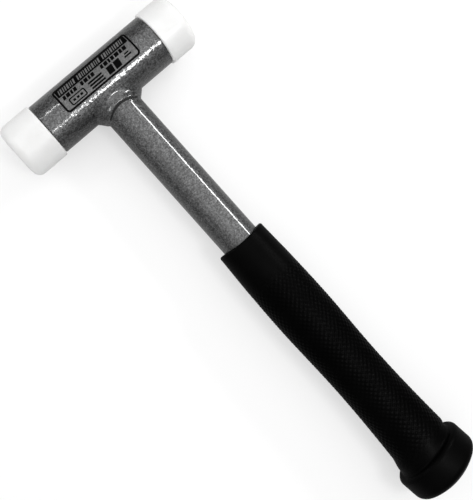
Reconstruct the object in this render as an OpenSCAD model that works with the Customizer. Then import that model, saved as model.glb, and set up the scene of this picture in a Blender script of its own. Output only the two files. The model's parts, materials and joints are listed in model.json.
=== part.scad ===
// Dead blow mallet: a steel tube head with loose shot inside and a nylon face screwed into
// each end, welded to a tubular steel handle with a rubber grip.
// It lies on its side. The head's axis runs along X, the handle points towards -Y, and the
// two faces and the grip's collar rest on the plane z = 0.

/* [Head] */
// Outside diameter of the head tube
head_d = 28; // [26:0.5:29]
// Length of the head tube
head_len = 70; // [66:1:90]
// Wall thickness of the head tube
head_wall = 3; // [2.5:0.25:3.25]
// How far each threaded socket reaches into the head tube
socket_len = 17; // [16:0.5:19]

/* [Faces] */
// Diameter of the nylon faces
face_d = 30; // [29.5:0.5:32]
// Length of the left face, from the head tube to the striking surface
face_len_left = 19.1; // [14:0.1:24]
// Length of the right face, from the head tube to the striking surface
face_len_right = 16.9; // [14:0.1:24]
// Outside diameter of the screw thread on each face
thread_d = 16; // [14:0.5:16]
// Length of the screw thread on each face
thread_len = 13; // [10:0.5:14]
// Thickness of the O-ring under each face
o_ring_d = 1.9; // [1.6:0.1:2]

/* [Shot] */
// Diameter of one ball
shot_d = 4.5; // [4:0.25:5.5]
// Length of the shot charge along the head
shot_len = 27; // [20:1:28]
// Share of the chamber's height that the shot fills
shot_fill = 0.78; // [0.5:0.01:0.9]

/* [Handle] */
// Outside diameter of the handle tube
handle_d = 20.6; // [19:0.1:22]
// Wall thickness of the handle tube
handle_wall = 1.5; // [1.2:0.1:2.5]
// Distance from the head's axis to the end of the handle tube
handle_len = 243; // [238:1:244]
// Width of the weld bead on the head
weld_leg_head = 4.3; // [3:0.1:5]
// Width of the weld bead on the handle
weld_leg_handle = 4; // [3:0.1:5]

/* [Grip] */
// Distance from the head's axis to the start of the grip
grip_start = 104.7; // [90:0.1:120]
// Diameter of the grip at its lip
lip_d = 27; // [25:0.1:28]
// Diameter of the grip at the belly under the forefinger
belly_d = 29.8; // [28:0.1:32]
// Diameter of the grip at its waist
waist_d = 28.4; // [26:0.1:30]
// Diameter of the grip where it meets the collar
tail_d = 32.2; // [30:0.1:34]
// Diameter of the collar that keeps the hand from slipping off
collar_d = 39.8; // [38:0.1:42]
// Radius of the dome that closes the grip
dome_r = 34; // [30:0.5:40]
// Angle at which the collar and the butt slant across the handle
butt_slant = 7; // [0:0.5:10]

/* [Label] */
// Length of the label along the head
label_len = 46.4; // [40:0.1:50]
// Height of the label, measured round the head
label_h = 15; // [12:0.1:18]
// Angle of the label's middle, from the top of the head away from the handle
label_angle = 13; // [0:1:30]

/* [Hidden] */
$fn = 96;

steel_paint = [0.42, 0.44, 0.47];
bare_steel = [0.72, 0.73, 0.75];
nylon = [0.95, 0.95, 0.93];
black_rubber = [0.07, 0.07, 0.07];

head_r = head_d / 2;
head_half = head_len / 2;
chamber_r = head_r - head_wall;
face_r = face_d / 2;
handle_r = handle_d / 2;
collar_r = collar_d / 2;

// Gap between parts that move on each other
running_gap = 0.05;

// Head tube's end chamfer
tube_chamfer = 0.5;

// Sockets: depth of the threaded hole, how far they sit inside the tube's end, mouth chamfer
socket_hole = thread_len + 0.8;
socket_recess = 0.3;
socket_chamfer = 0.8;
thread_hole_r = thread_d / 2 + running_gap;

// Faces: flat middle, gentle crown up to the corner, round corner, small edge at the tube
face_flat_r = 8;
crown_r = face_r - 3.7;
crown_angle = 8;
crown_arc_r = (crown_r - face_flat_r) / sin(crown_angle);
corner_r = (face_r - crown_r) / (1 - sin(crown_angle));
crown_drop = crown_arc_r * (1 - cos(crown_angle));
heel_r = 0.8;
thread_relief = 1.5;
thread_tip = 1.2;

// O-ring groove round the root of the thread
o_ring_mid_r = thread_d / 2 + running_gap + o_ring_d / 2;
groove_r = o_ring_mid_r + o_ring_d / 2 + running_gap;
groove_depth = o_ring_d + 2 * running_gap;

// Shot: balls in layers along the head, in the densest pattern, a little apart
ball_r = shot_d / 2;
ball_pitch = shot_d + 0.1;
row_pitch = ball_pitch * sqrt(3) / 2;
layer_pitch = ball_pitch * sqrt(2 / 3);
ball_field_r = chamber_r - ball_r - 0.15;
layer_count = floor((shot_len - shot_d) / layer_pitch) + 1;
fill_top = ball_field_r * (2 * shot_fill - 1);

// Handle plug: a stem in the tube and a cap over the tube's end
plug_stem = 12;
plug_cap = 1.5;

// Grip: places of the belly, the waist and the collar, its front edge, how far the grip's run
// reaches into the collar, the shoulder, and how far the butt sits off the handle's axis
belly_at = 150;
waist_at = 190.5;
collar_at = 243.6;
collar_edge = 2.5;
run_overlap = 4;
shoulder_r = 4.5;
butt_shift = 0.6;
lip_round = 1;
dome_end = 263.4;
dome_mid = dome_end - dome_r;
shoulder_at = dome_mid + sqrt(pow(dome_r - shoulder_r, 2) - pow(collar_r - shoulder_r, 2));
grip_bore_end = handle_len + plug_cap + 0.2;

// Label film and the radius of its corners
label_thick = 0.12;
label_corner = 2;
label_shift = 0.6;

// Weld bead: number of cross-sections, how far it is fused in, and how far it bulges
weld_steps = 72;
weld_sink = 0.4;
weld_bulge = 0.8;

// The handle rises towards the butt until the faces and the collar both touch z = 0
rest_at = collar_at + collar_edge;
rest_r = collar_r - collar_edge;
rest_tilt = atan2(rest_r, rest_at) + asin((collar_edge - face_r) / norm([rest_at, rest_r]));

// The origin is at the middle of the whole mallet's bounding box, on z = 0
slanted_dome_mid = rest_at - (rest_at - dome_mid) * cos(butt_slant);
origin_shift = [
    (face_len_left - face_len_right) / 2,
    (slanted_dome_mid * cos(rest_tilt) + dome_r - face_r) / 2,
    face_r
];

// Points of an arc about c, from angle a0 to angle a1
function arc(c, r, a0, a1, n) = [
    for (i = [0:n])
        let (a = a0 + (a1 - a0) * i / n)
            c + r * [cos(a), sin(a)]
];

// Outline of a rectangle round the origin with round corners
function rounded(half_x, half_y, r) = [
    for (k = [0:3])
        let (
            side_x = k == 0 || k == 3 ? 1 : -1,
            side_y = k < 2 ? 1 : -1,
            mid = [side_x * (half_x - r), side_y * (half_y - r)]
        )
            each arc(mid, r, 90 * k, 90 * k + 90, 6)
];

// Radius of the grip's bare surface at distance t from the head's axis
function grip_r(t) =
    t < belly_at
        ? lip_d / 2 + (belly_d - lip_d) / 2 * sin(90 * (t - grip_start) / (belly_at - grip_start))
    : t < waist_at
        ? (belly_d + waist_d) / 4
          + (belly_d - waist_d) / 4 * cos(180 * (t - belly_at) / (waist_at - belly_at))
    : waist_d / 2 + (tail_d - waist_d) / 2 * (1 - cos(90 * (t - waist_at) / (collar_at - waist_at)));

// Point on the head's outside at x and at angle a, measured from the handle's side to the top
function on_head(x, a, r) = [x, -r * cos(a), r * sin(a)];

// One cross-section of the weld bead, at angle a round the handle
function weld_section(a) =
    let (
        x = handle_r * cos(a),
        seam = asin(handle_r * sin(a) / head_r),
        turn = handle_r * cos(a) / cos(seam),
        out = [turn, handle_r * sin(a)] / norm([turn, handle_r * sin(a)]),
        corner = on_head(x, seam, head_r),
        toe_x = x + weld_leg_head * out.x,
        toe_a = seam + weld_leg_head * out.y / head_r * 180 / PI,
        toe = on_head(toe_x, toe_a, head_r),
        heel = corner - [0, weld_leg_handle, 0],
        away = (toe + heel) / 2 - corner,
        bulge = weld_bulge * away / norm(away),
        sunk_r = handle_r - weld_sink,
        sunk_heel = [sunk_r * cos(a), heel.y, sunk_r * sin(a)],
        sunk_corner = [sunk_r * cos(a), corner.y + weld_sink, sunk_r * sin(a)]
    )
    concat(
        [on_head(toe_x, toe_a, head_r - weld_sink)],
        [for (s = [0:0.25:1]) toe + (heel - toe) * s + bulge * 4 * s * (1 - s)],
        [sunk_heel, sunk_corner]
    );

// Lays the mallet down: its own axes are the head along X and the handle along -Y
module lay_down() {
    translate(origin_shift)
        rotate([-rest_tilt, 0, 0])
            children();
}

// Puts a part that is turned about Z on the head's axis, pointing out of one end of the head
module at_head_end(side) {
    translate([side * head_half, 0, 0])
        rotate([0, side * 90, 0])
            children();
}

// Turns a part that is turned about Z onto the handle's axis, pointing to the butt
module along_handle() {
    rotate([90, 0, 0])
        children();
}

module head_tube() {
    color(steel_paint)
        lay_down()
            rotate([0, 90, 0])
                rotate_extrude()
                    polygon([
                        [chamber_r, -head_half],
                        [head_r - tube_chamfer, -head_half],
                        [head_r, -head_half + tube_chamfer],
                        [head_r, head_half - tube_chamfer],
                        [head_r - tube_chamfer, head_half],
                        [chamber_r, head_half]
                    ]);
}

module handle_tube() {
    color(steel_paint)
        lay_down()
            difference() {
                along_handle()
                    cylinder(r = handle_r, h = handle_len);
                along_handle()
                    translate([0, 0, -1])
                        cylinder(r = handle_r - handle_wall, h = handle_len + 2);
                rotate([0, 90, 0])
                    cylinder(r = head_r, h = head_len, center = true);
            }
}

module weld_bead() {
    sections = [for (i = [0:weld_steps - 1]) weld_section(360 * i / weld_steps)];
    count = len(sections[0]);
    function at(i, j) = (i % weld_steps) * count + j % count;
    color(steel_paint)
        lay_down()
            polyhedron(
                points = [for (s = sections) each s],
                faces = [
                    for (i = [0:weld_steps - 1])
                        for (j = [0:count - 1])
                            for (half = [0, 1])
                                half == 0
                                    ? [at(i, j), at(i, j + 1), at(i + 1, j + 1)]
                                    : [at(i, j), at(i + 1, j + 1), at(i + 1, j)]
                ]
            );
}

// Threaded steel socket, turned about Z, with its mouth at z = 0
module socket() {
    mouth = -socket_recess;
    color(bare_steel)
        rotate_extrude()
            polygon([
                [0, -socket_len],
                [chamber_r, -socket_len],
                [chamber_r, mouth],
                [thread_hole_r + socket_chamfer, mouth],
                [thread_hole_r, mouth - socket_chamfer],
                [thread_hole_r, -socket_hole],
                [0, -socket_hole]
            ]);
}

module socket_left() {
    lay_down()
        at_head_end(-1)
            socket();
}

module socket_right() {
    lay_down()
        at_head_end(1)
            socket();
}

// One layer of balls; every second layer sits in the hollows of the first
module shot_layer(odd) {
    rise = odd * ball_pitch / sqrt(3);
    rows = ceil(2 * ball_field_r / row_pitch);
    for (row = [0:rows]) {
        z = -ball_field_r + rise + row * row_pitch;
        for (k = [-rows:rows]) {
            y = (k + (row % 2) / 2) * ball_pitch;
            if (z <= fill_top && norm([y, z]) <= ball_field_r)
                translate([0, y, z])
                    sphere(r = ball_r);
        }
    }
}

module shot_charge() {
    color(bare_steel)
        lay_down()
            rotate([rest_tilt, 0, 0])
                for (i = [0:layer_count - 1])
                    translate([(i - (layer_count - 1) / 2) * layer_pitch, 0, 0])
                        shot_layer(i % 2);
}

// O-ring, turned about Z, lying in the face's groove just above z = 0
module o_ring() {
    color(black_rubber)
        translate([0, 0, 2 * running_gap + o_ring_d / 2])
            rotate_extrude()
                translate([o_ring_mid_r, 0])
                    circle(d = o_ring_d, $fn = 32);
}

module o_ring_left() {
    lay_down()
        at_head_end(-1)
            o_ring();
}

module o_ring_right() {
    lay_down()
        at_head_end(1)
            o_ring();
}

// Nylon face with its screw thread, turned about Z; z = 0 is the end of the head tube
module face(length) {
    seat = running_gap;
    groove_top = seat + groove_depth;
    crown_mid = [face_flat_r, length - crown_arc_r];
    corner_mid = [face_r - corner_r, length - crown_drop - corner_r * cos(crown_angle)];
    thread_r = thread_d / 2;
    color(nylon)
        rotate_extrude()
            polygon(concat(
                [[0, length]],
                arc(crown_mid, crown_arc_r, 90, 90 - crown_angle, 3),
                arc(corner_mid, corner_r, 90 - crown_angle, 0, 10),
                arc([face_r - heel_r, seat + heel_r], heel_r, 0, -90, 5),
                [
                    [groove_r, seat],
                    [groove_r, groove_top],
                    [thread_r, groove_top],
                    [thread_r, -thread_relief],
                    [thread_r - thread_tip / 2, -thread_relief - thread_tip / 4],
                    [thread_r - thread_tip / 2, -thread_relief - thread_tip * 3 / 4],
                    [thread_r, -thread_relief - thread_tip],
                    [thread_r, -thread_len + thread_tip],
                    [thread_r - thread_tip, -thread_len],
                    [0, -thread_len]
                ]
            ));
}

module face_left() {
    lay_down()
        at_head_end(-1)
            face(face_len_left);
}

module face_right() {
    lay_down()
        at_head_end(1)
            face(face_len_right);
}

module handle_plug() {
    color(black_rubber)
        lay_down()
            along_handle() {
                translate([0, 0, handle_len - plug_stem])
                    cylinder(r = handle_r - handle_wall, h = plug_stem);
                translate([0, 0, handle_len])
                    cylinder(r = handle_r, h = plug_cap);
            }
}

// Grip from the lip into the collar, as a solid bar turned about Z
module grip_run() {
    steps = 30;
    run_start = grip_start + 2 * lip_round;
    run_end = collar_at + run_overlap;
    run = [
        for (i = [0:steps])
            let (t = run_start + (collar_at - run_start) * i / steps)
                [grip_r(t), t]
    ];
    lip_mid = [grip_r(run_start) - lip_round, grip_start + lip_round];
    rotate_extrude()
        polygon(concat(
            [[0, grip_start]],
            arc(lip_mid, lip_round, -90, 0, 5),
            run,
            [[tail_d / 2, run_end], [0, run_end]]
        ));
}

// Collar and domed butt, turned about Z and then slanted about the collar's front edge
module grip_butt() {
    front_mid = [rest_r, rest_at];
    shoulder_mid = [collar_r - shoulder_r, shoulder_at];
    shoulder_end = atan2(shoulder_at - dome_mid, collar_r - shoulder_r);
    translate([-butt_shift, 0, rest_at])
        rotate([0, butt_slant, 0])
            translate([0, 0, -rest_at])
                rotate_extrude()
                    polygon(concat(
                        [[0, collar_at]],
                        arc(front_mid, collar_edge, -90, 0, 7),
                        arc(shoulder_mid, shoulder_r, 0, shoulder_end, 6),
                        arc([0, dome_mid], dome_r, shoulder_end, 90, 10)
                    ));
}

module grip() {
    color(black_rubber)
        lay_down()
            along_handle()
                difference() {
                    union() {
                        grip_run();
                        grip_butt();
                    }
                    translate([0, 0, grip_start - 1])
                        cylinder(r = handle_r, h = grip_bore_end - grip_start + 1);
                }
}

module label() {
    half_angle = label_h / head_r / 2 * 180 / PI;
    half_h = (head_r + label_thick) * sin(half_angle);
    half_len = label_len / 2;
    color([0.5, 0.52, 0.55])
        lay_down()
            rotate([-label_angle, 0, 0])
                intersection() {
                    rotate([0, 90, 0])
                        difference() {
                            cylinder(r = head_r + label_thick, h = head_len, center = true);
                            cylinder(r = head_r, h = head_len + 2, center = true);
                        }
                    translate([label_shift, 0, 0])
                        linear_extrude(height = head_d)
                            polygon(rounded(half_len, half_h, label_corner));
                }
}

head_tube();
handle_tube();
weld_bead();
socket_left();
socket_right();
shot_charge();
o_ring_left();
o_ring_right();
face_left();
face_right();
handle_plug();
grip();
label();
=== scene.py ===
"""Looks of the dead blow mallet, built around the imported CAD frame.

Lengths are in mm in the mallet's own axes: the head along X, the handle along -Y, the head's
middle at the origin. TOOL lays that frame down in the row frame, in metres.
"""

import json
import math

import bpy
import numpy as np
from mathutils import Matrix, Vector


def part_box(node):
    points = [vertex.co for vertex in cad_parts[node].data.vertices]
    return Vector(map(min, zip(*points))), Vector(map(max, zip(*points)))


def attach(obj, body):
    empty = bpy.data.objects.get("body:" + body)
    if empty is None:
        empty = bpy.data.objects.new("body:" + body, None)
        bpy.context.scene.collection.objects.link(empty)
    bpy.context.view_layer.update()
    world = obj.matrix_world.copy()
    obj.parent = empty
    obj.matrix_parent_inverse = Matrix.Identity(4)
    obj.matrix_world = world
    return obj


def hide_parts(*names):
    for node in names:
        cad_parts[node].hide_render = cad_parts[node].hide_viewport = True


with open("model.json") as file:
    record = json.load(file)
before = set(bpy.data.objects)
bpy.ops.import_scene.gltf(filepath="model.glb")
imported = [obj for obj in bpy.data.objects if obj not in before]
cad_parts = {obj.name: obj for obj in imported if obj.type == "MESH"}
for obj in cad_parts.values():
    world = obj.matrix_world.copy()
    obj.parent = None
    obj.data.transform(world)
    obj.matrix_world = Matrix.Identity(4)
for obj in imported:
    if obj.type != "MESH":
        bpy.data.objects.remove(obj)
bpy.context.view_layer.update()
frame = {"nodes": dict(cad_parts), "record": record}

MM = 0.001
TURN = 2 * math.pi
nodes = frame["nodes"]
mounts = {m["name"]: m for m in frame["record"]["mounts"]}


# ---- Where things are, from the frame -------------------------------------------------------

head_low, head_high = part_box("head_tube")
head_mid = (head_low + head_high) / 2
handle_line = Vector(mounts["handle_clip_seat"]["axis"])
tilt = math.asin(handle_line.z)
LEVELLED = Matrix.Rotation(-tilt, 4, "X")
TOOL = Matrix.Translation(head_mid) @ LEVELLED @ Matrix.Diagonal((MM, MM, MM, 1))


def tool_points(node):
    """The corners of a CAD node's mesh in the mallet's own axes, in mm."""
    mesh = nodes[node].data
    co = np.empty(len(mesh.vertices) * 3, np.float32)
    mesh.vertices.foreach_get("co", co)
    back = np.array(TOOL.inverted())
    return co.reshape(-1, 3) @ back[:3, :3].T + back[:3, 3]


def reach(node, axis, sign):
    """How far a CAD node reaches along an axis of the mallet, to a tenth of a mm."""
    return round(float((sign * tool_points(node)[:, axis]).max()), 1)


HEAD_R = round((head_high.z - head_low.z) / MM / 2, 1)
HEAD_HALF = reach("head_tube", 0, 1)
FACE_R = reach("face_left", 1, 1)
HANDLE_R = round(mounts["handle_clip_seat"]["dims"]["r_mm"], 1)
CHAMBER_R = reach("socket_left", 1, 1)
SOCKET_LEN = HEAD_HALF + round(float(tool_points("socket_left")[:, 0].max()), 1)
GRIP_START = -reach("grip", 1, 1)
GRIP_END = reach("grip", 1, -1)
COLLAR_R = reach("grip", 2, 1)
PLUG_END = reach("handle_plug", 1, -1)


def head_end(side):
    """Places a part that is turned about Z on one end of the head, pointing outwards."""
    outwards = Matrix.Rotation(side * TURN / 4, 4, "Y")
    return TOOL @ Matrix.Translation((side * HEAD_HALF, 0, 0)) @ outwards


ALONG_HANDLE = TOOL @ Matrix.Rotation(TURN / 4, 4, "X")


# ---- Mesh making ----------------------------------------------------------------------------

def arc(centre, radius, start, end, steps):
    """Points of an arc in a plane, with its angles in degrees."""
    angles = np.radians(np.linspace(start, end, steps + 1))
    return [(centre[0] + radius * math.cos(a), centre[1] + radius * math.sin(a)) for a in angles]


def skin(rings, loop=False, first=None, last=None):
    """Corners and faces of the skin over closed rings.

    With loop the last ring joins the first. first and last are points that close the ends.
    """
    rows, cols = rings.shape[:2]
    i = np.arange(rows if loop else rows - 1)[:, None]
    j = np.arange(cols)[None, :]
    right = (j + 1) % cols
    up = (i + 1) % rows
    quads = np.stack([i * cols + j, i * cols + right, up * cols + right, up * cols + j], -1)
    corners = [tuple(p) for p in rings.reshape(-1, 3)]
    faces = [tuple(q) for q in quads.reshape(-1, 4).tolist()]
    for point, row, turn in ((first, 0, -1), (last, rows - 1, 1)):
        if point is not None:
            corners.append(tuple(point))
            tip = len(corners) - 1
            for k in range(cols):
                a, b = row * cols + k, row * cols + (k + 1) % cols
                faces.append((a, b, tip) if turn > 0 else (b, a, tip))
    return corners, faces


def turned(profile, cols):
    """The skin of a profile of (radius, height) turned about Z. A radius of 0 at an end is its tip."""
    first = (0, 0, profile[0][1]) if profile[0][0] == 0 else None
    last = (0, 0, profile[-1][1]) if profile[-1][0] == 0 else None
    rows = np.array([p for p in profile if p[0] > 0])
    angles = np.arange(cols) * TURN / cols
    rings = np.empty((len(rows), cols, 3))
    rings[..., 0] = rows[:, :1] * np.cos(angles)
    rings[..., 1] = rows[:, :1] * np.sin(angles)
    rings[..., 2] = rows[:, 1:]
    return skin(rings, first=first, last=last)


def joined(parts):
    """One set of corners and faces from several."""
    corners, faces = [], []
    for some_corners, some_faces in parts:
        start = len(corners)
        corners += some_corners
        faces += [tuple(k + start for k in face) for face in some_faces]
    return corners, faces


def volume(corners, faces):
    """The signed volume that faces enclose, negative where they look inwards."""
    points = np.array(corners, float)
    total = 0.0
    for count in (3, 4):
        some = np.array([f for f in faces if len(f) == count])
        for k in range(1, count - 1):
            if len(some):
                a, b, c = points[some[:, 0]], points[some[:, k]], points[some[:, k + 1]]
                total += float(np.einsum("ij,ij->i", a, np.cross(b, c)).sum()) / 6
    return total


def add_piece(name, shape, place, body, materials, stands_for, sharp, second=()):
    """A closed piece that rides on a CAD body. Edges sharper than sharp degrees stay crisp.

    stands_for lists the CAD nodes that it replaces, second the faces with the second material.
    """
    corners, faces = shape
    if volume(corners, faces) < 0:
        faces = [tuple(reversed(f)) for f in faces]
    mesh = bpy.data.meshes.new(name)
    mesh.from_pydata(corners, [], faces)
    mesh.transform(place)
    for material in materials:
        mesh.materials.append(material)
    for face in second:
        mesh.polygons[face].material_index = 1
    mesh.polygons.foreach_set("use_smooth", [True] * len(mesh.polygons))
    mesh.set_sharp_from_angle(angle=math.radians(sharp))
    piece = bpy.data.objects.new(name, mesh)
    bpy.context.scene.collection.objects.link(piece)
    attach(piece, body)
    if stands_for:
        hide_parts(*stands_for)


# ---- Material making ------------------------------------------------------------------------

# Noise rarely leaves this range
NOISE_LOW = 0.3
NOISE_HIGH = 0.7


def new_material(name, **sockets):
    """A material with one Principled shader, its sockets set, and the object's own coordinates."""
    material = bpy.data.materials.new(name)
    material.use_nodes = True
    tree = material.node_tree
    shader = tree.nodes["Principled BSDF"]
    for socket, value in sockets.items():
        shader.inputs[socket.replace("_", " ")].default_value = value
    place = tree.nodes.new("ShaderNodeTexCoord").outputs["Object"]
    return material, tree, shader, place


def add_node(tree, kind, inputs, **settings):
    """A node with its settings; each input is a value or the socket that feeds it."""
    node = tree.nodes.new("ShaderNode" + kind)
    for key, value in settings.items():
        setattr(node, key, value)
    for key, value in inputs.items():
        if isinstance(value, bpy.types.NodeSocket):
            tree.links.new(value, node.inputs[key])
        else:
            node.inputs[key].default_value = value
    return node


def noise(tree, place, size, detail=2.0, rough=0.5):
    """Noise with features of about size mm, from 0 to 1."""
    inputs = {"Vector": place, "Scale": 1 / (size * MM), "Detail": detail, "Roughness": rough}
    return add_node(tree, "TexNoise", inputs).outputs["Fac"]


def cells(tree, place, size):
    """A random value in each cell of about size mm, from 0 to 1."""
    inputs = {"Vector": place, "Scale": 1 / (size * MM)}
    colour = add_node(tree, "TexVoronoi", inputs).outputs["Color"]
    return add_node(tree, "SeparateColor", {"Color": colour}).outputs["Red"]


def spread(tree, value, low, high, to_low, to_high):
    """Maps low..high to to_low..to_high and holds it there outside."""
    inputs = {"Value": value, "From Min": low, "From Max": high, "To Min": to_low, "To Max": to_high}
    return add_node(tree, "MapRange", inputs, clamp=True).outputs["Result"]


def from_noise(tree, value, low, high):
    """Maps the usual range of noise to low..high."""
    return spread(tree, value, NOISE_LOW, NOISE_HIGH, low, high)


def maths(tree, operation, a, b):
    """Two values put together."""
    return add_node(tree, "Math", {0: a, 1: b}, operation=operation).outputs["Value"]


def mixed(tree, share, a, b):
    """Colour a at share 0 and colour b at share 1."""
    inputs = {0: share, 6: a, 7: b}
    return add_node(tree, "Mix", inputs, data_type="RGBA").outputs[2]


def bump(tree, height, depth, below=None):
    """A bump of height 0 to 1 over depth mm, on top of another."""
    inputs = {"Height": height, "Distance": depth * MM, "Strength": 1.0}
    if below is not None:
        inputs["Normal"] = below
    return add_node(tree, "Bump", inputs).outputs["Normal"]


def stretched(tree, place, scale):
    """The coordinates squeezed by a factor along each axis."""
    return add_node(tree, "Mapping", {"Vector": place, "Scale": scale}).outputs["Vector"]


def grey(level, warmth=0.0):
    """A near-neutral colour."""
    return (level * (1 + warmth), level, level * (1 - warmth), 1)


def wire(tree, shader, colour, roughness, normal):
    """Feeds a shader's base colour, roughness and normal."""
    tree.links.new(colour, shader.inputs["Base Color"])
    tree.links.new(roughness, shader.inputs["Roughness"])
    tree.links.new(normal, shader.inputs["Normal"])


def mottled(name, size, detail, rough, greys, roughness, depth, **sockets):
    """A material whose tone, roughness and bumps all follow one noise."""
    material, tree, shader, place = new_material(name, **sockets)
    lump = noise(tree, place, size, detail, rough)
    dark, light = greys
    colour = mixed(tree, lump, grey(dark), grey(light))
    wire(tree, shader, colour, from_noise(tree, lump, *roughness), bump(tree, lump, depth))
    return material


# ---- Materials ------------------------------------------------------------------------------

# Sizes and depths in mm, tones as shares of the paint's level
PAINT_FLAKE = 0.55
PAINT_GRAIN = PAINT_FLAKE * 2.2
PAINT_GRAIN_ROUGH = 0.65
PAINT_GRAIN_DEPTH = 0.012
PAINT_CLOUD = 9
PAINT_PEEL = 1.7
PAINT_FLAKE_TONES = (0.3, 1.7)
PAINT_GRAIN_TONES = (0.4, 1.6)
PAINT_CLOUD_TONES = (0.94, 1.06)
PAINT_DARKEST = 0.12
PAINT_LIGHTEST = 2.5
PAINT_WARMTH = -0.01
PAINT_SMOOTHER = 0.05
PAINT_ROUGHER = 0.06
FILM_FLAKE_TONES = (0.4, 1)
FILM_GRAIN_TONES = (0.5, 1)
NYLON_BASE = (0.69, 0.69, 0.685, 1)
NYLON_PALE = (0.74, 0.74, 0.737, 1)
NYLON_SPECK = (0.6, 0.6, 0.58, 1)
RUBBER_DARK = 0.0003
RUBBER_WORN = 0.0008
RUBBER_POLISH = 0.03


def paint(name, level, rough, peel_depth):
    """Dark grey metallic paint with fine flake under a clear coat with orange peel."""
    material, tree, shader, place = new_material(
        name, Metallic=1.0, Coat_Weight=1.0, Coat_Roughness=0.06, Coat_IOR=1.62
    )
    flake = cells(tree, place, PAINT_FLAKE)
    cloud = noise(tree, place, PAINT_CLOUD, 3)
    grain = noise(tree, place, PAINT_GRAIN, 3, PAINT_GRAIN_ROUGH)
    fleck = spread(tree, flake, 0, 1, *PAINT_FLAKE_TONES)
    coarse = from_noise(tree, grain, *PAINT_GRAIN_TONES)
    tone = maths(tree, "MULTIPLY", fleck, coarse)
    tone = maths(tree, "MULTIPLY", tone, from_noise(tree, cloud, *PAINT_CLOUD_TONES))
    share = spread(tree, tone, PAINT_DARKEST, PAINT_LIGHTEST, 0, 1)
    dark, light = grey(level * PAINT_DARKEST, PAINT_WARMTH), grey(level * PAINT_LIGHTEST, PAINT_WARMTH)
    coat = bump(tree, noise(tree, place, PAINT_PEEL, 2, 0.45), peel_depth)
    tree.links.new(coat, shader.inputs["Coat Normal"])
    roughness = from_noise(tree, grain, rough - PAINT_SMOOTHER, rough + PAINT_ROUGHER)
    surface = bump(tree, grain, PAINT_GRAIN_DEPTH, coat)
    wire(tree, shader, mixed(tree, share, dark, light), roughness, surface)
    return material


def nylon():
    """Milky white nylon with faint turning marks, a fine grain and a few darker specks."""
    material, tree, shader, place = new_material(
        "nylon_white", Subsurface_Weight=0.8, Subsurface_Scale=0.004, Specular_IOR_Level=0.45
    )
    shader.inputs["Subsurface Radius"].default_value = (1.0, 1.0, 1.0)
    cloud = noise(tree, place, 14, 3)
    base = mixed(tree, from_noise(tree, cloud, 0, 1), NYLON_BASE, NYLON_PALE)
    speck = spread(tree, noise(tree, place, 0.5, 2), 0.74, 0.8, 0, 0.35)
    fine = noise(tree, place, 0.6, 4, 0.6)
    rings = noise(tree, stretched(tree, place, (5, 0.12, 0.12)), 1.6, 2)
    surface = bump(tree, rings, 0.01, bump(tree, fine, 0.012))
    colour = mixed(tree, speck, base, NYLON_SPECK)
    wire(tree, shader, colour, from_noise(tree, fine, 0.26, 0.36), surface)
    return material


def grip_rubber(name, shine, rough):
    """Black moulded rubber with a fine skin, a little paler and smoother in worn patches."""
    material, tree, shader, place = new_material(name, Specular_IOR_Level=shine)
    cloud = noise(tree, place, 11, 3)
    skin_grain = noise(tree, place, 0.45, 3, 0.6)
    worn = spread(tree, cloud, 0.35, 0.7, 0, 1)
    colour = mixed(tree, worn, grey(RUBBER_DARK), grey(RUBBER_WORN))
    wear = spread(tree, worn, 0, 1, rough + RUBBER_POLISH, rough - RUBBER_POLISH)
    roughness = maths(tree, "ADD", wear, from_noise(tree, skin_grain, -0.03, 0.05))
    wire(tree, shader, colour, roughness, bump(tree, skin_grain, 0.02))
    return material


def seal_rubber():
    """Smooth black nitrile."""
    material, tree, shader, place = new_material("seal_rubber", Specular_IOR_Level=0.4)
    dust = noise(tree, place, 1.2, 3)
    colour = mixed(tree, dust, grey(0.01), grey(0.02))
    surface = bump(tree, noise(tree, place, 0.3), 0.006)
    wire(tree, shader, colour, from_noise(tree, dust, 0.35, 0.5), surface)
    return material


def turned_steel():
    """Bare turned steel with fine tool marks round the head's axis and a trace of oil."""
    material, tree, shader, place = new_material("turned_steel", Metallic=1.0)
    marks = noise(tree, stretched(tree, place, (1, 0.05, 0.05)), 0.16, 2)
    oil = noise(tree, place, 4, 3)
    colour = mixed(tree, oil, grey(0.38, 0.02), grey(0.58, 0.01))
    wire(tree, shader, colour, from_noise(tree, marks, 0.22, 0.4), bump(tree, marks, 0.01))
    return material


def label_film():
    """The clear satin film that shows the paint's flake without its gloss."""
    material, tree, shader, place = new_material("label_film", Metallic=0.75, Specular_IOR_Level=0.4)
    flake = cells(tree, place, PAINT_FLAKE)
    grain = noise(tree, place, PAINT_GRAIN, 3, PAINT_GRAIN_ROUGH)
    fleck = spread(tree, flake, 0, 1, *FILM_FLAKE_TONES)
    coarse = from_noise(tree, grain, *FILM_GRAIN_TONES)
    colour = mixed(tree, maths(tree, "MULTIPLY", fleck, coarse), grey(0.05), grey(0.2))
    wire(tree, shader, colour, from_noise(tree, grain, 0.42, 0.54), bump(tree, grain, 0.015))
    return material


def label_ink(name, level, wear):
    """Screen-printed ink that has worn thin in places, by up to the share wear."""
    material, tree, shader, place = new_material(name, Specular_IOR_Level=0.03)
    thin = noise(tree, place, 0.8, 4, 0.6)
    colour = mixed(tree, spread(tree, thin, 0.62, 0.78, 0, wear), grey(level), grey(0.05))
    wire(tree, shader, colour, from_noise(tree, thin, 0.45, 0.6), bump(tree, thin, 0.01))
    return material


HEAD_PAINT = paint("head_paint", 0.072, 0.46, 0.13)
HANDLE_PAINT = paint("handle_paint", 0.071, 0.46, 0.04)
WELD_PAINT = paint("weld_paint", 0.064, 0.46, 0.04)
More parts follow.
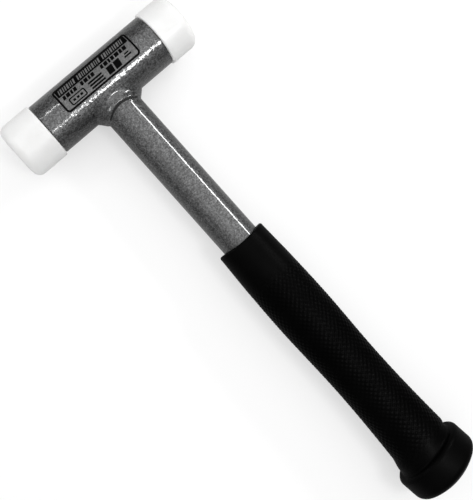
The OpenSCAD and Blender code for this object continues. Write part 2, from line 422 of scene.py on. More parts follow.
# Dark, dull, mottled paint on the faces in the weld's crease: painted shade for the crease's shadow
WELD_CREASE_SHADE = mottled(
    "crease_painted_shade", size=0.9, detail=3, rough=0.5, greys=(0.006, 0.02), roughness=(0.5, 0.7),
    depth=0.05, Specular_IOR_Level=0.15
)
NYLON = nylon()
SMOOTH_RUBBER = grip_rubber("smooth_rubber", 0.028, 0.42)
GRAINED_RUBBER = grip_rubber("grained_rubber", 0.018, 0.34)
SEAL = seal_rubber()
STEEL = turned_steel()
FILM = label_film()
INK = label_ink("label_ink", 0.0008, 0.25)
PALE_INK = label_ink("label_marks", 0.12, 0.2)
# Plain steel balls, scuffed by each other
SHOT_STEEL = mottled(
    "shot_steel", size=0.7, detail=4, rough=0.6, greys=(0.3, 0.6), roughness=(0.2, 0.45),
    depth=0.01, Metallic=1.0
)
# Black moulded plastic
PLUG_PLASTIC = mottled(
    "plug_plastic", size=0.5, detail=3, rough=0.5, greys=(0.025, 0.05), roughness=(0.4, 0.55),
    depth=0.02, Specular_IOR_Level=0.4
)

for node, material in (
    ("head_tube", HEAD_PAINT),
    ("handle_tube", HANDLE_PAINT),
    ("shot_charge", SHOT_STEEL),
    ("o_ring_left", SEAL),
    ("o_ring_right", SEAL),
    ("handle_plug", PLUG_PLASTIC),
):
    nodes[node].data.materials.clear()
    nodes[node].data.materials.append(material)


# ---- Screw thread ---------------------------------------------------------------------------

THREAD_R = 8.0
THREAD_PITCH = 2.0
THREAD_DEPTH = 1.1
THREAD_GAP = 0.12
THREAD_LEN = 13.0
THREAD_COLS = 96
THREAD_ROWS_A_TURN = 20
# Shares of half a pitch that the crest and the flank take; the root takes the rest
THREAD_CREST = 0.16
THREAD_FLANK = 0.68


def thread_wave(height, angle):
    """Depth of a right-hand thread from 0 on its crest to 1 in its root."""
    phase = (height / THREAD_PITCH - angle / TURN) % 1.0
    rise = np.abs(phase - 0.5) * 2
    return np.clip((rise - THREAD_CREST) / THREAD_FLANK, 0, 1)


def thread_rings(low, high, radius, limit):
    """Rings of a thread between two heights; limit(radius, height) trims it for chamfers."""
    count = int(round((high - low) / THREAD_PITCH * THREAD_ROWS_A_TURN))
    heights = np.linspace(low, high, count + 1)[:, None]
    angles = (np.arange(THREAD_COLS) * TURN / THREAD_COLS)[None, :]
    r = limit(radius - THREAD_DEPTH * thread_wave(heights, angles), heights)
    return np.stack([r * np.cos(angles), r * np.sin(angles), heights + 0 * r], -1)


def ring_of(radius, height):
    """One plain ring with as many points as the thread's."""
    angles = np.arange(THREAD_COLS) * TURN / THREAD_COLS
    return np.stack([radius * np.cos(angles), radius * np.sin(angles), np.full(THREAD_COLS, height)], -1)


# ---- Nylon faces ----------------------------------------------------------------------------

ENDS = ((-1, "left"), (1, "right"))

# A face is flat out to FACE_FLAT_R, then domed, then round over its last FACE_CROWN
FACE_FLAT_R = 8.0
FACE_CROWN = 3.7
FACE_CROWN_ANGLE = 8
FACE_SHARP = 35
FACE_SEEDS = {"left": 11, "right": 23}
HEEL_R = 0.8
HEEL_STEPS = 8
SIDE_BELOW = 1
SIDE_ABOVE = 0.4
SIDE_ROWS = 14
EDGE_STEPS = 18
CROWN_STEPS = 8
FLAT_STEP = 0.5
FLAT_INNER = 0.4
SEAT = 0.05
GROOVE_R = 10.0
GROOVE_TOP = 2.05
RELIEF = 1.5
RELIEF_EASE = 0.3
TIP = 1.2

DENTS = 26
DENTS_R = 10.5
DENT_SIZES = (0.7, 2.2)
DENT_DEPTHS = (0.02, 0.09)
DENT_REACH = 2


def face_outline(length):
    """The outside of a face from the O-ring groove to the middle of the striking surface."""
    crown_r = FACE_R - FACE_CROWN
    slope = math.sin(math.radians(FACE_CROWN_ANGLE))
    crown_arc = (crown_r - FACE_FLAT_R) / slope
    corner = FACE_CROWN / (1 - slope)
    drop = crown_arc * (1 - math.cos(math.radians(FACE_CROWN_ANGLE)))
    corner_mid = (FACE_R - corner, length - drop - corner * math.cos(math.radians(FACE_CROWN_ANGLE)))
    heel = arc((FACE_R - HEEL_R, SEAT + HEEL_R), HEEL_R, -90, 0, HEEL_STEPS)
    side_low, side_high = SEAT + HEEL_R + SIDE_BELOW, corner_mid[1] - SIDE_ABOVE
    side = [(FACE_R, z) for z in np.linspace(side_low, side_high, SIDE_ROWS)]
    edge = arc(corner_mid, corner, 0, 90 - FACE_CROWN_ANGLE, EDGE_STEPS)
    crown_mid = (FACE_FLAT_R, length - crown_arc)
    crown = arc(crown_mid, crown_arc, 90 - FACE_CROWN_ANGLE, 90, CROWN_STEPS)
    flat = [(r, length) for r in np.arange(FACE_FLAT_R - FLAT_STEP, FLAT_INNER, -FLAT_STEP)]
    return heel + side + edge + crown + flat


def strike_marks(rings, length, seed):
    """Shallow dents that striking has left in a face, pushed inwards along its axis."""
    draw = np.random.default_rng(seed)
    for _ in range(DENTS):
        r, a = DENTS_R * math.sqrt(draw.random()), TURN * draw.random()
        size, depth = draw.uniform(*DENT_SIZES), draw.uniform(*DENT_DEPTHS)
        away = np.hypot(rings[..., 0] - r * math.cos(a), rings[..., 1] - r * math.sin(a))
        near = np.clip((rings[..., 2] - length + DENT_REACH) / DENT_REACH, 0, 1)
        rings[..., 2] -= near * depth * np.exp(-((away / size) ** 2))
    return rings


def face_shape(length, seed):
    """A nylon face with its screw thread, closed at both tips."""

    def trimmed(r, height):
        """The thread with a plain neck at its top and a chamfer at its tip."""
        neck = np.where(height > -RELIEF - RELIEF_EASE, THREAD_R - THREAD_DEPTH, r)
        return np.minimum(neck, THREAD_R - np.clip(TIP - (height + THREAD_LEN), 0, TIP))

    thread = thread_rings(-THREAD_LEN, -RELIEF + 1, THREAD_R, trimmed)
    neck_r = THREAD_R - THREAD_DEPTH
    groove = [ring_of(neck_r, GROOVE_TOP), ring_of(GROOVE_R, GROOVE_TOP), ring_of(GROOVE_R, SEAT)]
    outline = np.array([ring_of(r, z) for r, z in face_outline(length)])
    outline = strike_marks(outline, length, seed)
    rings = np.concatenate([thread, np.array(groove), outline])
    return skin(rings, first=(0, 0, -THREAD_LEN), last=(0, 0, float(outline[-1][:, 2].mean())))


def make_faces():
    """A nylon face on each end, as long as its CAD node."""
    for side, name in ENDS:
        node = "face_" + name
        shape = face_shape(reach(node, 0, side) - HEAD_HALF, FACE_SEEDS[name])
        piece, body = "nylon_face_" + name, name + "_face"
        add_piece(piece, shape, head_end(side), body, [NYLON], [node], FACE_SHARP)


# ---- Threaded steel sockets -----------------------------------------------------------------

SOCKET_RECESS = 0.3
SOCKET_MOUTH_CHAMFER = 0.8
SOCKET_HOLE = 13.8
SOCKET_RELIEF = 1.2
SOCKET_CLEAR = 0.02
SOCKET_EDGE = 0.4
SOCKET_RIM_INSET = 0.42
SOCKET_SHARP = 30


def socket_shape():
    """A socket with its female thread, in step with the face's thread, closed at both tips."""
    bore = THREAD_R + THREAD_GAP
    mouth = -SOCKET_RECESS

    def trimmed(r, height):
        """The thread with a chamfer at its mouth and a plain bore at its bottom."""
        opened = bore + np.clip(height - mouth + SOCKET_MOUTH_CHAMFER, 0, SOCKET_MOUTH_CHAMFER)
        relieved = np.where(height < -SOCKET_HOLE + SOCKET_RELIEF, bore, r)
        widened = np.where(height > mouth - SOCKET_MOUTH_CHAMFER, opened, relieved)
        return np.minimum(np.maximum(widened, bore - THREAD_DEPTH), bore + SOCKET_MOUTH_CHAMFER)

    thread = thread_rings(-SOCKET_HOLE, mouth, bore, trimmed)
    outside_r, rim_r = CHAMBER_R - SOCKET_CLEAR, CHAMBER_R - SOCKET_RIM_INSET
    outside = [
        ring_of(rim_r, mouth),
        ring_of(outside_r, mouth - SOCKET_EDGE),
        ring_of(outside_r, -SOCKET_LEN + SOCKET_EDGE),
        ring_of(rim_r, -SOCKET_LEN),
    ]
    rings = np.concatenate([thread, outside])
    return skin(rings, first=(0, 0, -SOCKET_HOLE), last=(0, 0, -SOCKET_LEN))


def make_sockets():
    """A steel socket in each end of the head."""
    for side, name in ENDS:
        node = "socket_" + name
        shape, place, steel = socket_shape(), head_end(side), [STEEL]
        add_piece("steel_" + node, shape, place, "root", steel, [node], SOCKET_SHARP)


# ---- Weld bead ------------------------------------------------------------------------------

WELD_LEG_HEAD = 4.3
WELD_LEG_HEAD_TOP = 3.8
WELD_LEG_HANDLE = 4.0
WELD_LEG_HANDLE_TOP = 8.0
WELD_UPRIGHT = 1.3
WELD_SINK = 0.4
WELD_RIPPLE = 0.006
WELD_RIPPLES = 34
WELD_RIPPLE_BOW = 13
WELD_LUMPS = (3, 5, 8, 13)
WELD_SWELL = 0.03
WELD_TOE_WAVE = 0.03
WELD_TOE_WAVES = 7
WELD_SEED = 5
WELD_COLS = 288
WELD_STEPS = 4
WELD_SHARP = 50

# Cross-sections as shares of the leg on the head and the leg on the handle
WELD_SIDE = (
    (1, 0), (0.93, 0.07), (0.86, 0.14), (0.79, 0.21), (0.72, 0.29), (0.65, 0.37), (0.58, 0.45),
    (0.51, 0.53), (0.44, 0.6), (0.37, 0.67), (0.3, 0.73), (0.24, 0.78), (0.18, 0.83),
    (0.13, 0.87), (0.1, 0.9), (0.07, 0.93), (0.04, 0.965), (0, 1),
)
WELD_TOP = (
    (1, 0), (0.796, 0.021), (0.579, 0.037), (0.384, 0.049), (0.204, 0.066), (0.102, 0.09), (0.05, 0.13),
    (0.05, 0.24), (0.085, 0.38), (0.15, 0.53), (0.185, 0.634), (0.148, 0.682), (0.037, 0.68),
    (0.01, 0.69), (0.01, 0.79), (0.09, 0.85), (0.055, 0.91), (0, 1),
)
# The crease lies between these two knots of WELD_TOP, where |sin(angle)| is above the limit; its faces
# there get painted shade
WELD_CREASE = (12, 15)
WELD_CREASE_UPRIGHT = 0.55


def through(points, steps):
    """A smooth curve through points, with steps parts between each two."""
    knots = np.array([points[0], *points, points[-1]], float)
    curve = []
    for k in range(1, len(knots) - 2):
        before, start, end, after = knots[k - 1 : k + 3]
        for t in np.arange(steps) / steps:
            bend = (end - before) * t + (2 * before - 5 * start + 4 * end - after) * t**2
            bend += (3 * start - before - 3 * end + after) * t**3
            curve.append(start + bend / 2)
    return np.array([*curve, knots[-1]])


def on_head(x, angle, radius):
    """A point at x on the head, at an angle from the handle's side to the top."""
    return np.array([x, -radius * math.cos(angle), radius * math.sin(angle)])


def weld_shape():
    """The bead, and the numbers of its faces in the crease, which get painted shade.

    At the handle's sides the bead is a plain fillet. Above and below it runs thin over the head,
    climbs the handle to a ridge, drops into the crease and ends in a low rim.
    """
    draw = np.random.default_rng(WELD_SEED)
    lumps = [(k, draw.uniform(0, TURN), draw.uniform(0.3, 1.0)) for k in WELD_LUMPS]
    side, top = through(WELD_SIDE, WELD_STEPS), through(WELD_TOP, WELD_STEPS)
    sections = []
    for i in range(WELD_COLS):
        a = TURN * i / WELD_COLS
        x, z = HANDLE_R * math.cos(a), HANDLE_R * math.sin(a)
        upright = abs(math.sin(a)) ** WELD_UPRIGHT
        seam = math.asin(z / HEAD_R)
        out = np.array([x / math.cos(seam), z])
        out /= np.linalg.norm(out)
        corner = on_head(x, seam, HEAD_R)
        swell = 1 + WELD_SWELL * sum(w * math.sin(k * a + p) for k, p, w in lumps)
        leg = WELD_LEG_HEAD + (WELD_LEG_HEAD_TOP - WELD_LEG_HEAD) * upright
        leg *= 1 + WELD_TOE_WAVE * math.sin(WELD_TOE_WAVES * a + 1)
        toe_x, toe_a = x + leg * out[0], seam + leg * out[1] / HEAD_R
        to_toe = on_head(toe_x, toe_a, HEAD_R) - corner
        leg = WELD_LEG_HANDLE + (WELD_LEG_HANDLE_TOP - WELD_LEG_HANDLE) * upright
        to_heel = np.array([0, -leg, 0])
        up = (to_toe + to_heel) / np.linalg.norm(to_toe + to_heel)
        section = [on_head(toe_x, toe_a, HEAD_R - WELD_SINK)]
        profile = side + (top - side) * upright
        for k, (on_toe, on_heel) in enumerate(profile):
            s = k / (len(profile) - 1)
            swollen = 1 + (swell - 1) * math.sin(math.pi * s)
            phase = WELD_RIPPLES * a + WELD_RIPPLE_BOW * (s - 0.5) ** 2
            ripple = WELD_RIPPLE * math.sin(math.pi * s) * math.sin(phase)
            section.append(corner + (to_toe * on_toe + to_heel * on_heel) * swollen + up * ripple)
        sunk = HANDLE_R - WELD_SINK
        section.append(np.array([sunk * math.cos(a), corner[1] - leg, sunk * math.sin(a)]))
        section.append(np.array([sunk * math.cos(a), corner[1] + WELD_SINK, sunk * math.sin(a)]))
        sections.append(section)
    count = len(sections[0])
    low, high = (1 + k * WELD_STEPS for k in WELD_CREASE)
    crease = [
        i * count + j
        for i in range(WELD_COLS)
        if abs(math.sin(TURN * i / WELD_COLS)) > WELD_CREASE_UPRIGHT
        for j in range(low, high)
    ]
    return skin(np.array(sections), loop=True), crease


# ---- Grip -----------------------------------------------------------------------------------

# Distances along the handle are from the head's middle
GRIP_COLS = 240
GRIP_SHARP = 60
GRIP_SEED = 9
BORE_ROOM = 0.2
LIP_ROUND = 1.0
LIP_INSIDE = 0.05
COLLAR_AT = 243.6
COLLAR_EDGE = 2.5
COLLAR_ROOT = 1.2
BUTT_SLANT = math.radians(7)
BUTT_SHIFT = 0.6
SLANT_START = 236.0
LIP_AT_SIDES = -0.9
LIP_AT_MIDDLE = 0.4
LIP_FADE = 14.0
REST_AT = COLLAR_AT + COLLAR_EDGE
SHOULDER_R = 4.5
DOME_R = 34.0
GRAIN_START = 126.0
GRAIN_END = 239.0
GRAIN_FADE = 6.0
GRAIN_DEPTH = 0.3
GRAIN_STARTS = 32
GRAIN_PITCH = 3.0
GRAIN_ROW = 0.4
GRAIN_BLEND = 10.0
GRAIN_EDGE_SHARE = 0.2


def grip_radius():
    """The grip's radius along the handle, read from the CAD node: (distances, radii)."""
    points = tool_points("grip")
    along, radius = -points[:, 1], np.hypot(points[:, 0], points[:, 2])
    use = (points[:, 0] < -HANDLE_R / 2) & (radius > HANDLE_R + 0.5)
    use &= (along > GRIP_START + 2 * LIP_ROUND - 0.1) & (along < COLLAR_AT + 0.1)
    at = np.unique(np.round(along[use], 1))
    radii = [radius[use][np.abs(along[use] - t) < 0.06].max() for t in at]
    return at, np.array(radii)


def pebbles(along, angles):
    """Height of the grip's grain, from 0 in its valleys to 1 on its pebbles."""
    one = np.sin(0.5 * (GRAIN_STARTS * angles + TURN * along / GRAIN_PITCH))
    two = np.sin(0.5 * (GRAIN_STARTS * angles - TURN * along / GRAIN_PITCH))
    return np.abs(one) * np.abs(two)


def slanted(points, share):
    """Points turned about the collar's front edge by a share of the butt's slant."""
    angle = BUTT_SLANT * share
    x, t = points[:, 0].copy(), points[:, 2] - REST_AT
    points[:, 0] = x * np.cos(angle) + t * np.sin(angle) - BUTT_SHIFT * share
    points[:, 2] = REST_AT + t * np.cos(angle) - x * np.sin(angle)
    return points


def scalloped(points):
    """Points near the lip moved along the handle, so that the lip's edge is hollow above and below."""
    radius = np.maximum(np.hypot(points[:, 0], points[:, 1]), HANDLE_R)
    upright = (points[:, 1] / radius) ** 2
    share = np.clip(1 - (points[:, 2] - GRIP_START) / LIP_FADE, 0, 1) ** 2
    points[:, 2] += share * (LIP_AT_SIDES + (LIP_AT_MIDDLE - LIP_AT_SIDES) * upright)
    return points


def grip_shape():
    """The grip, closed at both tips, and the numbers of its grained faces."""
    bore_end = PLUG_END + BORE_ROOM
    at, radii = grip_radius()
    dome_mid = REST_AT - (REST_AT - GRIP_END + DOME_R) / math.cos(BUTT_SLANT)
    shoulder_at = dome_mid + math.sqrt((DOME_R - SHOULDER_R) ** 2 - (COLLAR_R - SHOULDER_R) ** 2)
    shoulder_end = math.degrees(math.atan2(shoulder_at - dome_mid, COLLAR_R - SHOULDER_R))
    run_at = np.arange(at[0], COLLAR_AT - COLLAR_ROOT, GRAIN_ROW)
    run_r = np.interp(run_at, at, radii)
    lip = arc((run_r[0] - LIP_ROUND, GRIP_START + LIP_ROUND), LIP_ROUND, -90, 0, 8)
    root_r = float(run_r[-1])
    profile = [(0, bore_end), (HANDLE_R, bore_end), (HANDLE_R, GRIP_START + LIP_INSIDE), *lip]
    before = len(profile) - 1
    profile += list(zip(run_r, run_at))
    profile += arc((root_r + COLLAR_ROOT, COLLAR_AT - COLLAR_ROOT), COLLAR_ROOT, 180, 90, 6)
    profile += arc((COLLAR_R - COLLAR_EDGE, COLLAR_AT + COLLAR_EDGE), COLLAR_EDGE, -90, 0, 10)
    profile += arc((COLLAR_R - SHOULDER_R, shoulder_at), SHOULDER_R, 0, shoulder_end, 10)
    profile += arc((0, dome_mid), DOME_R, shoulder_end + 2, 88, 16)
    profile += [(0, dome_mid + DOME_R)]
    corners, faces = turned(profile, GRIP_COLS)
    points = np.array(corners, float)
    rows = slice(before * GRIP_COLS, (before + len(run_at)) * GRIP_COLS)
    run = points[rows].reshape(len(run_at), GRIP_COLS, 3)
    angles = (np.arange(GRIP_COLS) * TURN / GRIP_COLS)[None, :]
    along = run_at[:, None]
    fade = np.clip(np.minimum(along - GRAIN_START, GRAIN_END - along) / GRAIN_FADE, 0, 1)
    sunk = GRAIN_DEPTH * fade * (1 - pebbles(along, angles))
    factor = 1 - sunk / run_r[:, None]
    run[..., 0] *= factor
    run[..., 1] *= factor
    points[rows] = run.reshape(-1, 3)
    share = np.clip((points[:, 2] - SLANT_START) / (COLLAR_AT - COLLAR_ROOT - SLANT_START), 0, 1)
    share = share * share * (3 - 2 * share)
    # The bore stays straight, with the middle of its closed end
    share[: before * GRIP_COLS] = 0
    share[-2] = 0
    points = scalloped(slanted(points, share))
    draw = np.random.default_rng(GRIP_SEED)
    inside = np.minimum(run_at - GRAIN_START, GRAIN_END - run_at) / GRAIN_BLEND
    chosen = draw.random((len(run_at), GRIP_COLS)) < inside[:, None] + GRAIN_EDGE_SHARE
    grained = (before * GRIP_COLS + np.flatnonzero(chosen)).tolist()
    return ([tuple(p) for p in points], faces), grained


# ---- Label ----------------------------------------------------------------------------------

LABEL_THICK = 0.12
LABEL_LEN = 46.4
LABEL_H = 15.0
LABEL_X = 0.6
LABEL_ANGLE = math.radians(13)
LABEL_CORNER = 2.0
LABEL_SHARP = 40
INK_THICK = 0.035
INK_TOP = LABEL_THICK + INK_THICK
# The grids of the film and the bars are fine enough to bend with the head
FILM_ROWS = 26
FILM_COLS = 24
BEND_STEP = 0.6
LENGTH_STEP = 4
CORNER_STEPS = 8
SIDE_POINTS = 12


def wrapped(outline, low, high):
    """The bottom and the top of a grid of (x, height) on the label, bent round the head."""
    grid = np.asarray(outline, float)
    angle = LABEL_ANGLE + grid[..., 1] / HEAD_R
    layers = []
    for lift in (low, high):
        r = HEAD_R + lift
        layers.append(np.stack([LABEL_X + grid[..., 0], r * np.sin(angle), r * np.cos(angle)], -1))
    return layers


def patch(grid, low, high):
    """A thin solid from a grid of rows and columns of label points."""
    bottom, top = wrapped(grid, low, high)
    rows, cols = bottom.shape[:2]
    count = rows * cols
    corners = [tuple(p) for p in np.concatenate([bottom.reshape(-1, 3), top.reshape(-1, 3)])]
    faces = []
    for i in range(rows - 1):
        for j in range(cols - 1):
            a, b, c, d = i * cols + j, i * cols + j + 1, (i + 1) * cols + j + 1, (i + 1) * cols + j
            faces.append((d, c, b, a))
            faces.append((a + count, b + count, c + count, d + count))
    rim = list(range(cols))
    rim += [i * cols + cols - 1 for i in range(1, rows)]
    rim += [(rows - 1) * cols + j for j in range(cols - 2, -1, -1)]
    rim += [i * cols for i in range(rows - 2, 0, -1)]
    for k, a in enumerate(rim):
        b = rim[(k + 1) % len(rim)]
        faces.append((a, b, b + count, a + count))
    return corners, faces


def band_ring(outer, inner, low, high):
    """A thin closed ring between two outlines with the same number of points."""
    layers = []
    for outline in (outer, inner):
        layers.append(wrapped(np.array(outline)[:, None, :], low, high))
    (outer_low, outer_high), (inner_low, inner_high) = layers
    rings = np.concatenate([outer_low, outer_high, inner_high, inner_low], axis=1)
    return skin(rings, loop=True)


def bar(x0, x1, s0, s1, slant=0.0, low=LABEL_THICK, high=INK_TOP):
    """A bar on the label from x0 to x1 and s0 to s1, its top moved along by slant."""
    steps = max(2, int(round((s1 - s0) / BEND_STEP)) + 1)
    t = np.linspace(0, 1, steps)[:, None]
    x = np.linspace(x0, x1, max(2, int((x1 - x0) / LENGTH_STEP) + 2))[None, :]
    grid = np.stack([x + slant * t, s0 + (s1 - s0) * t + 0 * x], -1)
    return patch(grid, low, high)


def rounded(half_len, half_h, corner):
    """The outline of a rectangle with round corners, its sides split so that they bend smoothly."""
    points = []
    corners = ((1, 1, 0), (-1, 1, 90), (-1, -1, 180), (1, -1, 270))
    for k, (sx, sy, start) in enumerate(corners):
        mid = (sx * (half_len - corner), sy * (half_h - corner))
        points += arc(mid, corner, start, start + 90, CORNER_STEPS)
        nsx, nsy, next_start = corners[(k + 1) % 4]
        end = np.array(points[-1])
        turn = math.radians(next_start)
        mid = np.array((nsx * (half_len - corner), nsy * (half_h - corner)))
        goal = mid + corner * np.array((math.cos(turn), math.sin(turn)))
        points += [tuple(end + (goal - end) * t) for t in np.linspace(0, 1, SIDE_POINTS)[1:-1]]
    return points


def moved(outline, x, s):
    """An outline moved to a point of the label."""
    return np.array(outline) + np.array((x, s))


def film_shape():
    """The film: slices across its length, each as high as its round corners allow."""
    half_len, half_h = LABEL_LEN / 2, LABEL_H / 2
    bend = np.radians(np.linspace(0, 90, CORNER_STEPS + 1))
    ends = half_len - LABEL_CORNER + LABEL_CORNER * np.sin(bend)
    x = np.concatenate([-ends[::-1], np.linspace(-half_len, half_len, FILM_COLS)[3:-3], ends])
    x = np.unique(np.round(x, 4))
    past = np.clip(np.abs(x) - (half_len - LABEL_CORNER), 0, LABEL_CORNER)
    high = half_h - LABEL_CORNER + np.sqrt(LABEL_CORNER**2 - past**2)
    share = np.linspace(-1, 1, FILM_ROWS)[:, None]
    grid = np.stack([x + 0 * share, share * high], -1)
    return patch(grid, 0.0, LABEL_THICK)


# Positions on the label in mm from its middle: along it, then up it
BORDER_OUTSIDE = 0.1
BORDER_OUTSIDE_CORNER = 1.9
BORDER_INSIDE = 1.1
BORDER_INSIDE_CORNER = 1.1
BAND_MARGIN = 1.5
BAND_LOW, BAND_HIGH = 1.5, 6.4
ROW_LOW, ROW_HIGH = -1.15, 0.95
ROW_SPANS = ((-20.5, -12.0), (-9.5, 0.5), (3.0, 20.0))
DASH_WIDTHS = (1.5, 2.1, 1.2, 1.8, 2.4)
DASH_GAP = 0.55
DASH_SLANT = 0.3
SIGN_LOW, SIGN_HIGH = -5.9, -2.0
SIGN_MIDDLE = (SIGN_LOW + SIGN_HIGH) / 2
SIGN_HALF = (SIGN_HIGH - SIGN_LOW) / 2

# The four signs: a box with blocks in it, a stack of lines, two tall blocks and two small bars
BOX_X = -14.2
BOX_HALF = 4.8
BOX_CORNER = 0.9
BOX_HOLE_HALF = 4.1
BOX_HOLE_CORNER = 0.4
BOX_WALL = 0.6
BOX_BLOCKS = 3
BOX_BLOCK_FROM, BOX_BLOCK_TO = -17.2, -15.8
BOX_BLOCK_STEP = 2.2
BOX_BLOCK_HALF = 0.55
BOX_BLOCK_SLANT = 0.2
STACK_LINES = 3
STACK_FROM, STACK_TO = -6.8, 1.6
STACK_STEP = 0.76
STACK_THICK = 0.48
STACK_SLANT = 0.4
TALL_BLOCKS = 2
TALL_FROM, TALL_TO = 4.2, 7.8
TALL_STEP = 4.4
TALL_SLANT = 0.5
SMALL_FROM, SMALL_TO = 15.0, 19.2
SMALL_HALF = 0.4
SMALL_TOP_FROM, SMALL_TOP_TO = 15.8, 18.4
SMALL_TOP_LOW, SMALL_TOP_HIGH = 0.9, 1.6
SMALL_SLANT = 0.3

MARK_START = -20.6
MARK_COUNT = 31
MARK_SPACE = 0.62
MARK_MARGIN = 0.9
MARK_WIDTHS = (0.5, 0.9, 0.55, 0.7, 1.0, 0.5)
MARK_GAPS = (8, 20)
MARK_SLANT = 0.7
MARK_THICK = 0.02


def dashes(start, end):
    """A row of upright marks of changing width."""
    parts, x, k = [], start, 0
    while x + DASH_WIDTHS[k % len(DASH_WIDTHS)] <= end:
        width = DASH_WIDTHS[k % len(DASH_WIDTHS)]
        parts.append(bar(x, x + width, ROW_LOW, ROW_HIGH, DASH_SLANT))
        x += width + DASH_GAP
        k += 1
    return parts


def ink_shape():
    """All the dark print: border, band, a row of dashes and four plain signs."""
    half_len, half_h = LABEL_LEN / 2, LABEL_H / 2
    outside = rounded(half_len - BORDER_OUTSIDE, half_h - BORDER_OUTSIDE, BORDER_OUTSIDE_CORNER)
    inside = rounded(half_len - BORDER_INSIDE, half_h - BORDER_INSIDE, BORDER_INSIDE_CORNER)
    parts = [band_ring(outside, inside, LABEL_THICK, INK_TOP)]
    parts.append(bar(-half_len + BAND_MARGIN, half_len - BAND_MARGIN, BAND_LOW, BAND_HIGH))
    for start, end in ROW_SPANS:
        parts += dashes(start, end)
    rim = moved(rounded(BOX_HALF, SIGN_HALF, BOX_CORNER), BOX_X, SIGN_MIDDLE)
    hole = moved(rounded(BOX_HOLE_HALF, SIGN_HALF - BOX_WALL, BOX_HOLE_CORNER), BOX_X, SIGN_MIDDLE)
    parts.append(band_ring(rim, hole, LABEL_THICK, INK_TOP))
    low, high = SIGN_MIDDLE - BOX_BLOCK_HALF, SIGN_MIDDLE + BOX_BLOCK_HALF
    for k in range(BOX_BLOCKS):
        x0, x1 = BOX_BLOCK_FROM + k * BOX_BLOCK_STEP, BOX_BLOCK_TO + k * BOX_BLOCK_STEP
        parts.append(bar(x0, x1, low, high, BOX_BLOCK_SLANT))
    for k in range(STACK_LINES):
        s = SIGN_LOW + k * SIGN_HALF * STACK_STEP
        parts.append(bar(STACK_FROM, STACK_TO, s, s + SIGN_HALF * STACK_THICK, STACK_SLANT))
    for k in range(TALL_BLOCKS):
        x0, x1 = TALL_FROM + k * TALL_STEP, TALL_TO + k * TALL_STEP
        parts.append(bar(x0, x1, SIGN_LOW, SIGN_HIGH, TALL_SLANT))
    low, high = SIGN_MIDDLE - SMALL_HALF, SIGN_MIDDLE + SMALL_HALF
    parts.append(bar(SMALL_FROM, SMALL_TO, low, high, SMALL_SLANT))
    low, high = SIGN_MIDDLE + SMALL_TOP_LOW, SIGN_MIDDLE + SMALL_TOP_HIGH
    parts.append(bar(SMALL_TOP_FROM, SMALL_TOP_TO, low, high, SMALL_SLANT))
    return joined(parts)


def mark_shape():
    """The light marks on the dark band: a row of plain posts."""
    foot, head = BAND_LOW + MARK_MARGIN, BAND_HIGH - MARK_MARGIN
    parts, x = [], MARK_START
    for k in range(MARK_COUNT):
        width = MARK_WIDTHS[k % len(MARK_WIDTHS)]
        if k not in MARK_GAPS:
            parts.append(bar(x, x + width, foot, head, MARK_SLANT, INK_TOP, INK_TOP + MARK_THICK))
        x += width + MARK_SPACE
    return joined(parts)


make_faces()
make_sockets()
bead, crease_shade_faces = weld_shape()
# The faces in the weld's crease take the dark second material: painted shade
paints = [WELD_PAINT, WELD_CREASE_SHADE]
add_piece("weld_ridge", bead, TOOL, "root", paints, ["weld_bead"], WELD_SHARP, crease_shade_faces)
grip, grained_faces = grip_shape()
rubbers = [SMOOTH_RUBBER, GRAINED_RUBBER]
add_piece(
    "rubber_grip", grip, ALONG_HANDLE, "root", rubbers, ["grip"], GRIP_SHARP,
    grained_faces
)
add_piece("label_sheet", film_shape(), TOOL, "root", [FILM], ["label"], LABEL_SHARP)
add_piece("label_print", ink_shape(), TOOL, "root", [INK], (), LABEL_SHARP)
add_piece("label_light_marks", mark_shape(), TOOL, "root", [PALE_INK], (), LABEL_SHARP)


# ---- Floor, light and camera ----------------------------------------------------------------

# Lengths in this part are in metres
FLOOR_HALF = 4.0
FLOOR_DROP = 0.00005
FLOOR_PALE = 0.9
FLOOR_SEEN = 0.4
FLOOR_GLOW = 0.52
FLOOR_MIRRORED = 0.42


def make_floor():
    """A plain pale floor that is clear from underneath."""
    mesh = bpy.data.meshes.new("floor")
    h = FLOOR_HALF
    mesh.from_pydata([(-h, -h, 0), (h, -h, 0), (h, h, 0), (-h, h, 0)], [], [(0, 1, 2, 3)])
    floor = bpy.data.objects.new("floor", mesh)
    floor.location.z = -FLOOR_DROP
    bpy.context.scene.collection.objects.link(floor)
    material, tree, shader, place = new_material("pale_floor", Roughness=0.9, Specular_IOR_Level=0.1)
    rays = add_node(tree, "LightPath", {}).outputs
    plain = mixed(tree, rays["Is Glossy Ray"], grey(FLOOR_PALE), grey(FLOOR_MIRRORED))
    seen = mixed(tree, rays["Is Camera Ray"], plain, grey(FLOOR_SEEN))
    tree.links.new(seen, shader.inputs["Base Color"])
    shader.inputs["Emission Color"].default_value = grey(1.0)
    glow = spread(tree, rays["Is Camera Ray"], 0, 1, 0, FLOOR_GLOW)
    tree.links.new(glow, shader.inputs["Emission Strength"])
    back = add_node(tree, "NewGeometry", {}).outputs["Backfacing"]
    clear = add_node(tree, "BsdfTransparent", {}).outputs["BSDF"]
    both = add_node(tree, "MixShader", {0: back, 1: shader.outputs["BSDF"], 2: clear}).outputs["Shader"]
    tree.links.new(both, tree.nodes["Material Output"].inputs["Surface"])
    mesh.materials.append(material)


# A flat light gives off this many watts a square metre for a radiance of 1
LIGHT_POWER_SHARE = math.pi

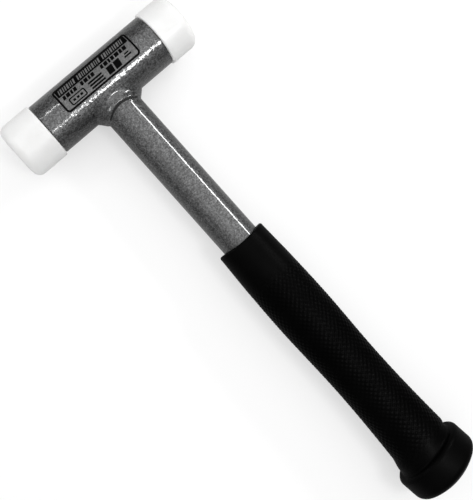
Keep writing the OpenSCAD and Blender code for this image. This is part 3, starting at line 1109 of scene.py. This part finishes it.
# Name, leans from straight above towards +X and +Y in degrees, distance, width, height,
# radiance, and turn about its own direction in radians
LIGHTS = (
    ("overhead_inner", 12.5, 0, 0.8, 1.2, 1.15, 0.45, 0),
    ("overhead_middle", 5, 2, 0.8, 1.72, 1.6, 0.3, 0),
    ("overhead_outer", -10, 2, 0.8, 2.4, 2.6, 0.26, 0),
    ("head_strip", 1.5, -31.7, 0.56, 0.1, 0.022, 14, 0),
    ("head_strip_end", 12, -33, 0.56, 0.11, 0.09, 20, 0),
    ("head_back_strip", -2, 39, 0.6, 0.1, 0.026, 18, 0),
    ("handle_strip", 57.5, 0, 0.6, 0.28, 0.07, 20, math.pi / 2),
    ("left_fill", -60, 55, 0.7, 0.28, 0.28, 3.8, 0),
)
WORLD_LIGHT = 0.34
WORLD_SEEN = 0.82


def add_light(name, lean_x, lean_y, distance, wide, tall, radiance, turn):
    """An area light that faces the head and that the camera doesn't see."""
    light = bpy.data.lights.new(name, "AREA")
    light.shape = "RECTANGLE"
    light.size, light.size_y = wide, tall
    light.energy = radiance * LIGHT_POWER_SHARE * wide * tall
    lamp = bpy.data.objects.new(name, light)
    bpy.context.scene.collection.objects.link(lamp)
    up = Vector((math.tan(math.radians(lean_x)), math.tan(math.radians(lean_y)), 1)).normalized()
    lamp.location = head_mid + up * distance
    lamp.rotation_mode = "QUATERNION"
    side = Vector((math.cos(turn), math.sin(turn), 0))
    ahead = up.cross(side).normalized()
    side = ahead.cross(up)
    lamp.rotation_quaternion = Matrix((side, ahead, up)).transposed().to_quaternion()
    lamp.visible_camera = False


def make_lights():
    """Three wide lights above, four strips for the lines on head and handle, a fill and the world."""
    for light in LIGHTS:
        add_light(*light)
    world = bpy.data.worlds.new("studio")
    bpy.context.scene.world = world
    world.use_nodes = True
    tree = world.node_tree
    seen = add_node(tree, "LightPath", {}).outputs["Is Camera Ray"]
    colour = mixed(tree, seen, grey(WORLD_LIGHT), grey(WORLD_SEEN))
    tree.links.new(colour, tree.nodes["Background"].inputs["Color"])


CAMERA_FROM_HEAD = Vector((-0.046286, -0.096205, 0.405713))
CAMERA_RIGHT = Vector((0.741726, -0.664196, 0.093198))
CAMERA_UP = Vector((0.662760, 0.747153, 0.050110))
CAMERA_LENS = 58.66
CAMERA_SENSOR = 36
CAMERA_NEAR = 0.01
CAMERA_FAR = 20


def make_camera():
    """The camera where the photograph was taken from."""
    data = bpy.data.cameras.new("camera")
    data.lens = CAMERA_LENS
    data.sensor_width = CAMERA_SENSOR
    data.clip_start, data.clip_end = CAMERA_NEAR, CAMERA_FAR
    camera = bpy.data.objects.new("camera", data)
    bpy.context.scene.collection.objects.link(camera)
    right = CAMERA_RIGHT.normalized()
    back = right.cross(CAMERA_UP).normalized()
    up = back.cross(right)
    turned_to = Matrix((right, up, back)).transposed().to_4x4()
    camera.matrix_world = Matrix.Translation(head_mid + CAMERA_FROM_HEAD) @ turned_to
    bpy.context.scene.camera = camera


make_floor()
make_lights()
make_camera()
bpy.context.scene.view_settings.view_transform = "Standard"
